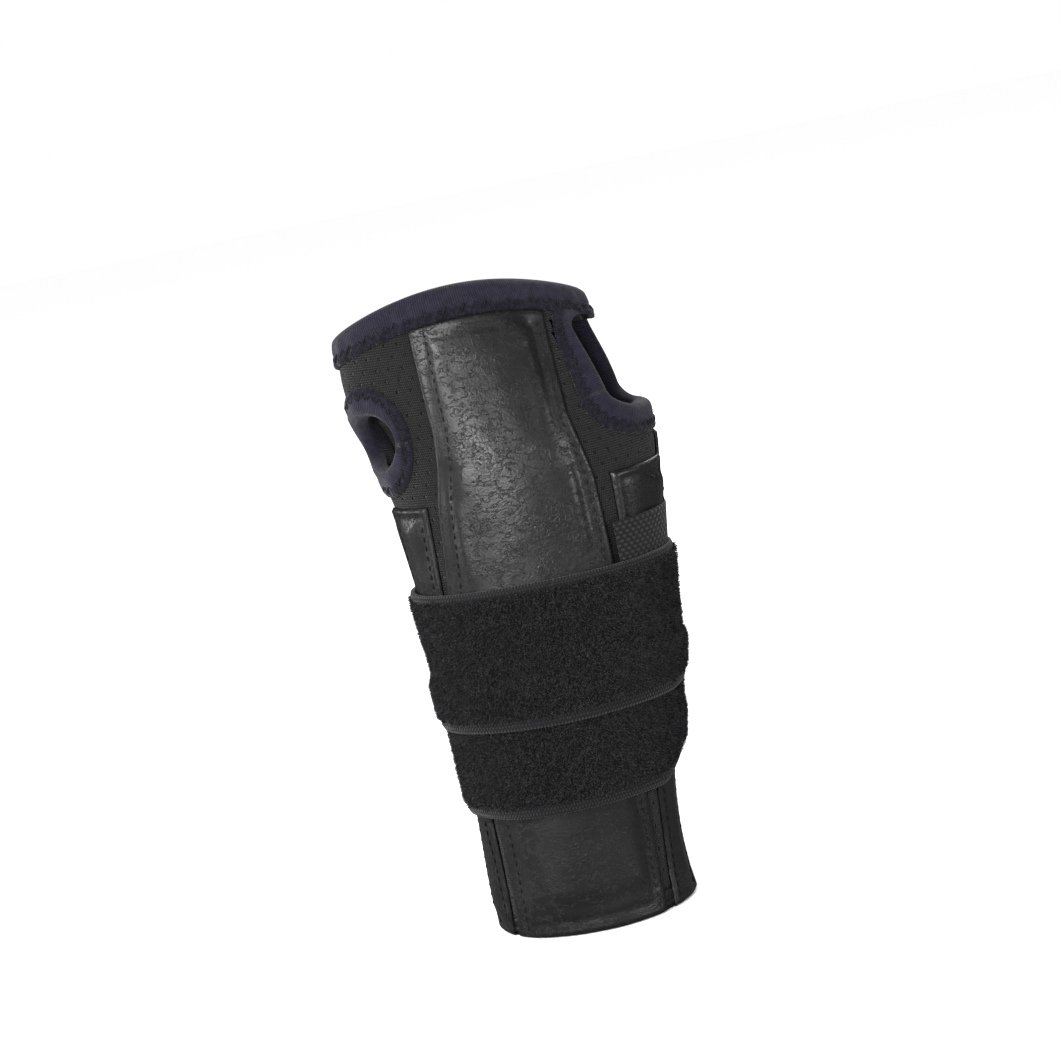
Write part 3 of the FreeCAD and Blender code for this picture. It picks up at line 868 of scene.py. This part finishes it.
def rounded(corners):
    """A smooth closed curve through the corners of a cut."""
    between = 3
    share = np.arange(between)[None, :, None] / between
    before, here, after, beyond = (np.roll(corners, k, 0)[:, None] for k in (1, 0, -1, -2))
    curve = 0.5 * (
        2 * here
        + (after - before) * share
        + (2 * before - 5 * here + 4 * after - beyond) * share**2
        + (3 * here - before - 3 * after + beyond) * share**3
    )
    return curve.reshape(-1, 2)


def tape(name, place, profile, mat, ripple=0.22, seed=0.0, closed=False, start=None):
    """A binding: its profile carried along the fold line. place gives points for offsets and depths."""
    pitch = 6.3
    s, d = rounded(profile).T
    points = place(s, d)
    far = arc_lengths(place(np.array([2.0]), np.array([3.0]))[:, 0], 0)
    if closed:
        pitch = far[-1] / round(far[-1] / pitch)
    if start is not None:
        far = far - far[start]
    far = far[:, None]
    puff = np.sin(far * TURN / pitch + 1.6 * np.sin(far * 2 * TURN / 13 / pitch + seed) + seed)
    outer_side = (d > 3.4)[None]
    lifted = place(s, d + 1.0) - points
    uneven = 0.5 * np.sin(far / 4.1 + s[None] / 2 + seed)
    strength = ripple * (puff * smooth((s[None] - 1) / 3) + uneven)
    # the stitches pull the binding in along its sewn edge
    sewn = hump(s[None] - s.max() + 2.3, 1.5)
    strength = strength - 0.3 * sewn * (0.4 + 0.6 * np.cos(far * TURN / 3.4 + s[None]))
    points = points + lifted * np.where(outer_side, strength, 0)[..., None]
    return loft(name, points, [mat], closed)


def hole_place(hole):
    """Points for a hole's binding; where it reaches the finger edge it runs inside that edge's binding."""
    angles, heights, first, step = hole.walk()
    lines = first + step * np.arange(len(angles))

    def at(s, grid):
        return np.stack([[np.interp(v, lines, column) for v in s] for column in grid.T])

    def place(s, d):
        s = np.atleast_1d(s)
        a, z = at(s, angles), at(s, heights)
        d = np.broadcast_to(d, a.shape)
        z = np.minimum(z, rim(a) - 2.5)
        tucked = smooth((z - rim(a) + 9.6) / 1.4)
        return wall(a, z, d + tucked * (np.clip(d, -0.35, 3.55) - d))

    return place


def line_place(angle_at, height_at):
    """Points for a fold line: functions of the offset give its angles and heights."""

    def place(s, d):
        s = np.atleast_1d(s)
        depths = np.broadcast_to(d, s.shape)
        return np.stack([wall(angle_at(v), height_at(v), w) for v, w in zip(s, depths)], 1)

    return place


def rim_place(side):
    """The fold along one half's finger edge."""
    angle = np.linspace(*ends_at(HALF_EDGES[side], 190.0), 170)
    return line_place(lambda s: angle, lambda s: rim(angle) - s)


def hem_place(side):
    """The fold along one half's forearm end."""
    angle = np.linspace(*ends_at(HALF_EDGES[side], 3.0), 120)
    return line_place(lambda s: angle, lambda s: 0.35 + s)


def slit_place(side):
    """The fold along one side of the slit."""
    height = np.linspace(1.4, limits(f"{side}_slit_binding")[1][2], 150)
    edge_x, sign = SLIT[side]
    return line_place(lambda s: back_angle(edge_x + sign * s, height), lambda s: height)


RIM_PLACES = {side: rim_place(side) for side in SIDES}
SLIT_PLACES = {side: slit_place(side) for side in SIDES}
for side in SIDES:
    start = PALM_END[side]
    piece = tape(f"{side}_rim_tape", RIM_PLACES[side], fold_profile(9.0), NAVY, seed=1.0, start=start)
    bend(piece, side, "binding", "palmar_rim_binding", f"{side}_flap_rim_binding")
    profile = fold_profile(6.0, outer=3.35, seat=2.95, inner=-0.7)
    piece = tape(f"{side}_hem_fold", hem_place(side), profile, VINYL, 0.04, start=start)
    bend(piece, side, "vinyl", "palmar_hem", f"{side}_flap_hem")
    piece = tape(f"{side}_slit_tape", SLIT_PLACES[side], fold_profile(6.8), NAVY, 0.12, seed=4.0)
    still(piece, f"{side}_flap", "binding", f"{side}_slit_binding")

THUMB_PLACE, SPARE_PLACE = hole_place(THUMB), hole_place(SPARE)
piece = tape("thumb_hole_tape", THUMB_PLACE, fold_profile(8.8, back=8.0), NAVY, seed=0.4, closed=True)
bend(piece, "radial", "binding", "thumb_hole_binding")
piece = tape("spare_hole_tape", SPARE_PLACE, fold_profile(8.6, back=8.0), NAVY, seed=5.2, closed=True)
still(piece, "hand_shell", "binding", "spare_hole_binding")


# ---------------- lining and knit
def declare(cloth):
    """Works out the areas of a sheet's grid cells from its own grid; the result is not kept."""
    cells = np.diff(cloth.u, axis=0)[:, :-1] * np.diff(cloth.z, axis=1)[:-1]
    if cloth.stays is not None:
        cells = cells * cloth.stays[:-1, :-1]


def knit_depth(c):
    """The knit's outside."""
    return KNIT_OUT + 0.08 * waves(c.u, c.v, 3.0)


for side in SIDES:
    edges = HALF_EDGES[side]
    top = below_rim(edges, 190.0, CUFF_END)
    lining = Cloth(*edges, CUFF_END, top, LINING_OUT, LINING_IN, 1.6, off_holes)
    piece = lining.build(f"{side}_lining_cloth", [TERRY])
    bend(piece, side, "lining", "palmar_lining", f"{side}_flap_lining")
    declare(lining)
    knitted = Cloth(*edges, CUFF_END, top, knit_depth, KNIT_IN, 1.3, off_holes)
    piece = knitted.build(f"{side}_knit_cloth", [KNITTED])
    bend(piece, side, "knit", "palmar_shell", f"{side}_flap_shell")
    declare(knitted)


# ---------------- vinyl panels
def spread(grid):
    """Each place takes the highest value of its neighbours."""
    wide = np.pad(grid, 1, mode="edge")
    rows, columns = grid.shape
    return np.maximum.reduce([wide[i : i + rows, j : j + columns] for i in range(3) for j in range(3)])


def blur(grid, times):
    """Softens a grid along both its axes."""
    for _ in range(times):
        for axis in (0, 1):
            wide = np.pad(grid, [(1, 1) if k == axis else (0, 0) for k in (0, 1)], mode="edge")
            count = grid.shape[axis]
            shares = enumerate((0.25, 0.5, 0.25))
            grid = sum(share * wide.take(range(k, k + count), axis) for k, share in shares)
    return grid


def covering(cloth, depth, stay, room=0.5):
    """Raises a sewn cover wherever the strip inside it would otherwise show through."""
    tree = tree_of(stay)
    away, reach = 14.0, 20.0
    start, way = wall(cloth.angle, cloth.z, away), -normal_at(cloth.angle, cloth.z)
    needed = np.zeros(depth.shape)
    for place in np.ndindex(depth.shape):
        hit = tree.ray_cast(Vector(start[place]), Vector(way[place]), reach)
        if hit[0]:
            needed[place] = away + room - hit[3]
    missing = np.maximum(spread(needed) - depth, 0)
    return depth + np.maximum(blur(spread(missing), 3), missing)


def puffed(cloth, top, edge, stitch=2.6, lip=0.5):
    """Depth of a sewn vinyl piece: a rolled edge, a pulled-in stitch line and a full middle."""
    near = cloth.edge
    roll = lip * hump(near - 1.1, 0.9)
    pinch = -0.32 * hump(near - stitch, 0.75)
    full = edge + (top - edge) * smooth((near - stitch) / 5.5)
    drop = -0.5 * (1 - smooth(near / 0.9))
    over_hem = 0.3 * (1 - smooth((cloth.z - 6) / 4))
    return full + roll + pinch + drop + over_hem


PANEL_LEFT = path_x(
    (0, -26.4), (113, -26.4), (138, -24.6), (150, -22.6), (161, -21.7), (172, -22.3), (205, -23.2)
)
PANEL_RIGHT = path_x(
    (0, 19.4), (38, 20.6), (110, 24.0), (140, 23.6), (150, 21.6), (160, 19.4), (186, 18.6), (205, 20.4)
)
STAY_LOW, STAY_HIGH = limits("palmar_stay")


def panel_depth(c):
    """The palm panel: raised over its stay, with a ridge along each of the stay's sides."""
    cx, _, a, _ = oval(c.z)
    x = cx + (a + SEAT) * np.cos(c.angle)
    right, left = STAY_HIGH[0] - 0.4 - x, x - STAY_LOW[0] - 0.4
    over_stay = smooth(np.minimum(right, left) / 3 + 0.8) * smooth((c.z - STAY_LOW[2]) / 6 + 0.5)
    over_stay = over_stay * smooth((STAY_HIGH[2] - c.z) / 6 + 0.6)
    ridges = 0.5 * (hump(right, 1.6) + hump(left, 1.6))
    ridges = ridges * smooth((c.z - 112) / 12) * smooth((178 - c.z) / 20)
    depth = puffed(c, 4.35 + 0.7 * over_stay, 3.85, 4.6, 0.3) + ridges
    depth = depth + 0.24 * waves(c.u * 0.6, c.v * 0.5, 1.0)
    bulge = 0.25 * np.exp(-(((x + 10) / 5) ** 2 + ((c.z - 170) / 11) ** 2))
    return covering(c, np.minimum(depth + bulge, 5.7), "palmar_stay")


def skin_under(thick, lowest=TOUCH):
    """The inside of a cloth of a thickness, no lower than what it lies on."""
    return lambda c: np.maximum(c.outer - thick, lowest)


def eased(top, drop, over=0.7):
    """A flat outside whose edges fall away."""
    return lambda c: top - drop * (1 - smooth(c.edge / over))


def vinyl_piece(name, cloth, node, knits=()):
    """A sewn vinyl piece that moves with the hand shell; knits only decides whether declare() is called."""
    piece = still(cloth.build(name, [VINYL]), "hand_shell", "vinyl", node)
    if knits:
        declare(cloth)


def pocket_depth(stay):
    """A side pocket: raised over its stay."""
    low, high = limits(stay)

    def depth(c):
        y = wall(c.angle, c.z, SEAT)[..., 1]
        over = smooth(np.minimum(high[1] - y, y - low[1]) / 2.5 + 1) * smooth((c.z - low[2]) / 5 + 0.5)
        over = over * smooth((high[2] - c.z) / 4 + 1.2)
        full = puffed(c, 4.3 + 0.6 * over, 3.9) + 0.12 * waves(c.u * 0.8, c.v * 0.6, 2.2)
        return covering(c, np.minimum(full, 5.3), stay)

    return depth


FOOT, POCKET_TOP, VINYL_THICK = 0.4, 139.0, 0.75
RADIAL_FRONT = path_x((0, 22.4), (60, 25.0), (110, 27.9), (140, 28.3))
ULNAR_FRONT = palm_x(-27.9)
panel_top = below_rim((PANEL_LEFT, PANEL_RIGHT), 192.0, 9.35)
panel = Cloth(PANEL_LEFT, PANEL_RIGHT, FOOT, panel_top, panel_depth, skin_under(VINYL_THICK), CELL)
vinyl_piece("palm_panel", panel, "palmar_stay_pocket", SIDES)
POCKETS = {}
for side, edges in (("radial", (RADIAL_FRONT, radial_y(-0.9))), ("ulnar", (ulnar_y(-0.9), ULNAR_FRONT))):
    depth = pocket_depth(f"{side}_stay")
    POCKETS[side] = Cloth(*edges, FOOT, POCKET_TOP, depth, skin_under(VINYL_THICK), CELL)
    vinyl_piece(f"{side}_pocket", POCKETS[side], f"{side}_stay_pocket", [side])
strip_edges = radial_y(0.1), radial_y(7.0)
strip = Cloth(*strip_edges, 1.2, 146.0, lambda c: puffed(c, 4.0, 3.75, 2.4, 0.35), skin_under(0.7), CELL)
vinyl_piece("radial_seam_tape", strip, "radial_seam_strip")


# ---------------- webbing and back channels
def web_depth(c):
    """The webbing's outside."""
    return eased(5.9, 0.35, 0.8)(c) + 0.05 * waves(c.u, c.v, 1)


def channel_depth(stay):
    """A sewn channel: a full middle with a flat edge on both sides."""

    def depth(c):
        full = 3.45 + 0.75 * smooth((c.side - 1.3) / 1.6) - 0.2 * (1 - smooth(c.side / 0.5))
        return covering(c, full + 0.03 * np.sin(c.z / 2.3), stay, 0.35)

    return depth


web = Cloth(palm_x(24.8), radial_y(8.4), 100.0, 124.5, web_depth, skin_under(0.8, 5.35), 0.8)
still(web.build("radial_web", [WEBBING]), "hand_shell", "webbing", "radial_webbing")
for side, edge_at in (("radial", back_x), ("ulnar", ulnar_back_x)):
    stay, half = f"{side}_back_stay", 5.0
    low, high = limits(stay)
    middle = (low[0] + high[0]) / 2
    edges = edge_at(middle + half), edge_at(middle - half)
    cloth = Cloth(*edges, 1.6, 184.0, channel_depth(stay), skin_under(0.55), 0.8)
    bend(cloth.build(f"{side}_channel_tape", [TAPE]), side, "webbing", f"{stay}_channel")

# ---------------- straps
SELVEDGE_WIDE = 2.9
PLUSH = [PILE_GROUND, SELVEDGE]
# for each strap: the low edge and the high edge on the palm, the high edge at the back, and how far
# the low edge rises towards the back
STRAPS = {"proximal": (40.0, 74.0, 67.5, 8.0), "distal": (68.0, 112.0, 112.0, 1.5)}
TAB_LONG, TAB_ROUND = 30.0, 8.0


def strap_zone(c):
    """The ground in the middle and the selvedge along the long edges."""
    return (c.end < SELVEDGE_WIDE).astype(int)


def strap_depth(low, over):
    """A strap's outside. The one that laps over the other is lifted there; the other bulges at the thumb."""

    def depth(c):
        ridge = 7.25 - 0.45 * (1 - smooth(c.end / 0.8)) - 0.25 * (1 - smooth(c.side / 0.7))
        valley = 0.22 * hump(c.end - SELVEDGE_WIDE, 0.5)
        if over:
            lift = 1.75 * (1 - smooth((c.z - 81.5) / 5))
        else:
            lift = 1.1 * hump(c.angle + 0.1, 0.45) * (1 - smooth((c.z - 58) / 8))
        return ridge - valley + lift + 0.14 * waves(c.u * 0.5, c.v * 0.5, low)

    return depth


def stepped(height, rise, first, length):
    """A long edge that goes from one height to another part of the way across."""
    return lambda t: height + rise * smooth((t - first) / length)


def tab_inset(t):
    """How far a tab's long edges draw in towards its rounded tip."""
    gone = np.clip(TAB_ROUND - (1 - t) * TAB_LONG, 0, TAB_ROUND)
    return TAB_ROUND - np.sqrt(np.clip(TAB_ROUND**2 - gone**2, 0, None))


def tab_cloth(name, low, high):
    """A strap's end, from the strap's run to its tip."""
    edges = back_x(8.4), back_x(limits(f"{name}_tab")[0][0])
    rounded_edges = lambda t: low + tab_inset(t), lambda t: high - tab_inset(t)
    return Cloth(*edges, *rounded_edges, eased(7.3, 0.4), skin_under(1.2, 5.95), CELL)


for name, (low, high, back_high, rise) in STRAPS.items():
    edges = stepped(low, rise, 0.60, 0.11), stepped(high, back_high - high, 0.72, 0.12)
    depth = strap_depth(low, name == "distal")
    cloth = Cloth(ulnar_y(7.0), back_x(8.8), *edges, depth, lambda c: c.outer - 1.3, 1.1)
    # each strap is built as two halves that meet on the palm
    cut = cloth.t[int(np.argmin(abs(cloth.angle[:, 0] - PALM))), 0]
    for half, part in (("palm", cloth.t < cut + 1e-6), ("thumb", cloth.t > cut - 1e-6)):
        cloth.stays = part
        band = cloth.build(f"{name}_strap_{half}_band", PLUSH, strap_zone)
        loops = pile(f"{name}_strap_{half}_loops", cloth, 10.0, 1.35, SELVEDGE_WIDE)
        if half == "palm":
            still(band, "hand_shell", "loop_pile", f"{name}_strap")
            still(loops, "hand_shell", "loop_pile")
        else:
            bend(band, "radial", "loop_pile", f"{name}_strap", f"{name}_strap_run")
            bend(loops, "radial", "loop_pile")

    tab = tab_cloth(name, low, back_high)
    band = tab.build(f"{name}_tab_band", PLUSH, strap_zone)
    loops = pile(f"{name}_tab_loops", tab, 6.0, 1.0, SELVEDGE_WIDE + 0.2)
    hinge, reach = limits(f"{name}_tab")[1][0] - 0.2, 3
    for piece, nodes in ((band, [f"{name}_tab"]), (loops, [])):
        start, end = ((hinge + reach) * MM, 0, 0), ((hinge - reach) * MM, 0, 0)
        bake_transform(piece)
        dress(piece, "loop_pile", *nodes)
    low, high = limits(f"{name}_hook_pad")
    pad = Cloth(back_x(high[0]), back_x(low[0]), low[2], high[2], 5.88, 5.4, CELL)
    still(pad.build(f"{name}_hook_tape", [HOOKS]), f"{name}_tab", "hook", f"{name}_hook_pad")

low, high = limits("loop_patch")
edges = ulnar_back_x(high[0]), ulnar_back_x(low[0])
patch = Cloth(*edges, low[2], high[2], eased(4.75, 0.3), skin_under(0.5, 4.25), CELL)
ground = patch.build("loop_patch_ground", PLUSH, lambda c: (c.edge < 2).astype(int))
still(ground, "ulnar_flap", "loop_pile", "loop_patch")
still(pile("loop_patch_loops", patch, 6.0, 0.5, 2.2), "ulnar_flap", "loop_pile")

# ---------------- stitching
def zigzag_on(name, place, offset, depth, closed=False):
    """Zigzag stitches along a binding, at an offset from its fold."""

    def at(s, d):
        line = place(np.array([s]), np.array([d]))[:, 0]
        return np.concatenate([line, line[:1]]) if closed else line

    path = at(offset, depth)
    seam = Seam()
    seam.zigzag(path, at(offset, depth + 1) - path, at(offset + 1, depth) - path)
    return seam.build(name, NAVY_THREAD, 0.22, 0.2)


for side in SIDES:
    bend(zigzag_on(f"{side}_rim_stitches", RIM_PLACES[side], 6.6, 4.22), side, "binding")
    still(zigzag_on(f"{side}_slit_stitches", SLIT_PLACES[side], 5.2, 4.2), f"{side}_flap", "binding")
bend(zigzag_on("thumb_hole_stitches", THUMB_PLACE, 6.4, 4.22, True), "radial", "binding")
still(zigzag_on("spare_hole_stitches", SPARE_PLACE, 6.2, 4.22, True), "hand_shell", "binding")

LEFT, RIGHT = 0, -1  # the rows of a cloth's grid at its two sides
SEAM_END = 2.0


def row_up(seam, cloth, side, inset, high=1e3):
    """A stitch row up one side of a vinyl piece, a given way in from that side."""
    way = 1 if side == LEFT else -1
    far = np.abs(cloth.u - cloth.u[side])[::way]

    def inside(grid):
        return np.array([np.interp(inset, step, values) for step, values in zip(far.T, grid[::way].T)])

    z = cloth.z[side]
    keep = (z > SEAM_END) & (z < high)
    seam.line(inside(cloth.angle)[keep], z[keep], inside(cloth.outer)[keep])


def row_across(seam, cloth, height):
    """A stitch row across a vinyl piece at one height."""
    j = int(np.argmin(abs(cloth.z[0] - height)))
    keep = cloth.side[:, j] > SEAM_END
    seam.line(cloth.angle[keep, j], np.full(keep.sum(), height), cloth.outer[keep, j])


panel_seam, pocket_seam = Seam(), Seam()
row_up(panel_seam, panel, LEFT, 4.8)
row_up(panel_seam, panel, RIGHT, 3.0)
still(panel_seam.build("palm_panel_stitches", GREY_THREAD), "hand_shell", "vinyl")
for side, front, back in (("radial", LEFT, RIGHT), ("ulnar", RIGHT, LEFT)):
    row_up(pocket_seam, POCKETS[side], front, 2.8, 137)
    row_up(pocket_seam, POCKETS[side], back, 2.6, 137)
    row_across(pocket_seam, POCKETS[side], 136.6)
row_across(pocket_seam, POCKETS["radial"], 133.4)
row_up(pocket_seam, strip, LEFT, 2.2)
row_up(pocket_seam, strip, RIGHT, 2.0)
still(pocket_seam.build("pocket_stitches", GREY_THREAD), "hand_shell", "vinyl")

# ---------------- CAD pieces that stay
STAYS = {STAY_METAL: ("palmar_stay", "radial_stay", "ulnar_stay"),
         SPRING_METAL: ("radial_back_stay", "ulnar_back_stay")}
for metal_look, nodes in STAYS.items():
    for node in nodes:
        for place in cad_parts[node].material_slots:
            place.material = metal_look

# ---------------- floor, light and camera
bpy.ops.mesh.primitive_plane_add(size=6, location=(0, 0, 0))
floor = bpy.context.object
floor.name = "studio_floor"
PALE, DIM = (0.96, 0.96, 0.96), (0.10, 0.10, 0.10)
floor_look = Surface("pale_floor", PALE, 0.9, specular=0.0)
seen_in_shine = floor_look.node("LightPath").outputs["Is Glossy Ray"]
floor_look.tint(seen_in_shine, PALE, DIM)
floor.data.materials.append(floor_look.done())

# A white room.  Shiny surfaces mirror it dimly, as they do a lamp-lit studio, so that their relief shows.
world = bpy.data.worlds.new("studio")
bpy.context.scene.world = world
world.use_nodes = True
room = world.node_tree
room.nodes["Background"].inputs[0].default_value = (1, 1, 1, 1)
path = room.nodes.new("ShaderNodeLightPath")
level = room.nodes.new("ShaderNodeMapRange")
room.links.new(path.outputs["Is Glossy Ray"], level.inputs["Value"])
level.inputs["To Min"].default_value, level.inputs["To Max"].default_value = 1.0, 0.06
room.links.new(level.outputs[0], room.nodes["Background"].inputs[1])

TARGET = Vector((3.8 - HOME_X, 0, 123)) * MM


def light(name, place, size, power):
    """A round lamp that faces the part; its place is in metres."""
    lamp = bpy.data.lights.new(name, "AREA")
    lamp.shape, lamp.size, lamp.energy = "DISK", size, power
    holder = bpy.data.objects.new(name, lamp)
    bpy.context.scene.collection.objects.link(holder)
    holder.location = place
    holder.rotation_euler = (TARGET - Vector(place)).to_track_quat("-Z", "Y").to_euler()


light("key", (-0.55, -0.7, 0.95), 0.2, 14)
light("panel", (-0.30, -0.86, 0.34), 0.10, 7)
light("fill", (0.85, -0.7, 0.3), 0.2, 5)
light("rim", (0.5, 0.9, 0.9), 0.7, 10)
light("left", (-1.0, 0.1, 0.35), 0.4, 6)

lens = bpy.data.cameras.new("camera")
lens.lens, lens.sensor_width = 109.4, 36
camera = bpy.data.objects.new("camera", lens)
bpy.context.scene.collection.objects.link(camera)
distance, rise, swing, roll = 1.0, math.radians(10.5), math.radians(1.0), math.radians(11.5)
away = Vector((-math.sin(swing) * math.cos(rise), -math.cos(swing) * math.cos(rise), math.sin(rise)))
aim = (-away).to_track_quat("-Z", "Y").to_matrix().to_4x4()
camera.matrix_world = Matrix.Translation(TARGET + away * distance) @ aim @ Matrix.Rotation(-roll, 4, "Z")
bpy.context.scene.camera = camera
bpy.context.scene.view_settings.view_transform = "Standard"
